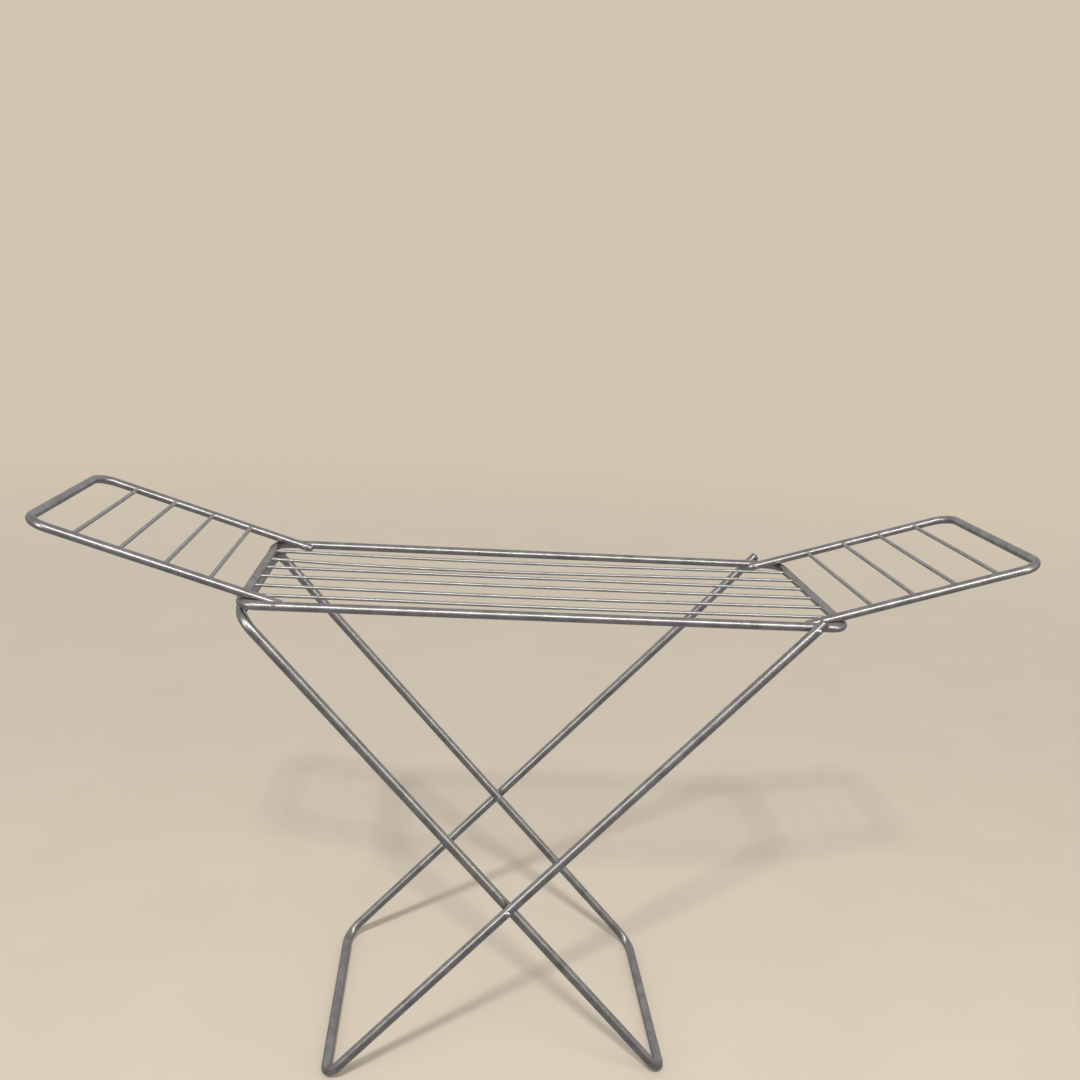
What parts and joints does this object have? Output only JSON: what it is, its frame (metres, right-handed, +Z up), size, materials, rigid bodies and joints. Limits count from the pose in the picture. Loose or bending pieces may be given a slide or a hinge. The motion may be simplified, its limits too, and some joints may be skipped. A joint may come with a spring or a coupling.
{
  "type": "clothes drying rack",
  "caption": "Folding clothes drying rack in bare steel tube: wired top frame, two hinged wings with rungs, and crossed legs that close flat.",
  "frame": {"origin": "On the floor, straight below the middle of the top frame.", "axes": "+X along the rack towards the wing on the outer legs' side, +Y across it away from the user, +Z up."},
  "size_m": [1.959, 0.5468, 1.1684],
  "materials": {
    "tube": "satin",
    "wire": "drawn, satin",
    "rivet": "bright",
    "plug": "satin"
  },
  "bodies": {
    "top_frame": {"frame_tube": "tube", "frame_wire_1": "wire", "frame_wire_2": "wire", "frame_wire_3": "wire", "frame_wire_4": "wire", "frame_wire_5": "wire", "frame_wire_6": "wire", "wing_left_rivet_near": "rivet", "wing_left_rivet_far": "rivet", "wing_right_pin_near": "rivet", "wing_right_pin_far": "rivet", "wing_spacers": "rivet", "hook_spacers": "rivet", "hinge_strap_near": "tube", "hinge_strap_far": "tube", "strap_rivets": "rivet"},
    "wing_left": {"wing_left_tube": "tube", "wing_left_rung_1": "wire", "wing_left_rung_2": "wire", "wing_left_rung_3": "wire", "wing_left_rung_4": "wire"},
    "wing_right": {"wing_right_tube": "tube", "wing_right_rung_1": "wire", "wing_right_rung_2": "wire", "wing_right_rung_3": "wire", "wing_right_rung_4": "wire"},
    "inner_leg": {"inner_leg_tube": "tube", "cross_rivet_near": "rivet", "cross_rivet_far": "rivet", "cross_washers": "rivet"},
    "outer_leg": {"outer_leg_tube": "tube", "outer_leg_plug_near": "plug", "outer_leg_plug_far": "plug"}
  },
  "joints": [
    {"name": "leg_fold", "type": "hinge", "parent": "top_frame", "child": "inner_leg", "pos_m": [-0.5835, 0, 1], "axis": [0, -1, 0], "range_deg": [0, 48]},
    {"name": "leg_spread", "type": "hinge", "parent": "inner_leg", "child": "outer_leg", "pos_m": [-0.0465, 0, 0.402], "axis": [0, -1, 0], "range_deg": [0, 82]},
    {"name": "wing_left_fold", "type": "hinge", "parent": "top_frame", "child": "wing_left", "pos_m": [-0.5175, 0, 1.02], "axis": [0, 1, 0], "range_deg": [0, 158]},
    {"name": "wing_right_fold", "type": "hinge", "parent": "top_frame", "child": "wing_right", "pos_m": [0.5175, 0, 1.02], "axis": [0, -1, 0], "range_deg": [0, 158]}
  ],
  "couplings": [
    {"joint": "leg_spread", "follows": "leg_fold", "ratio": 1.7}
  ]
}
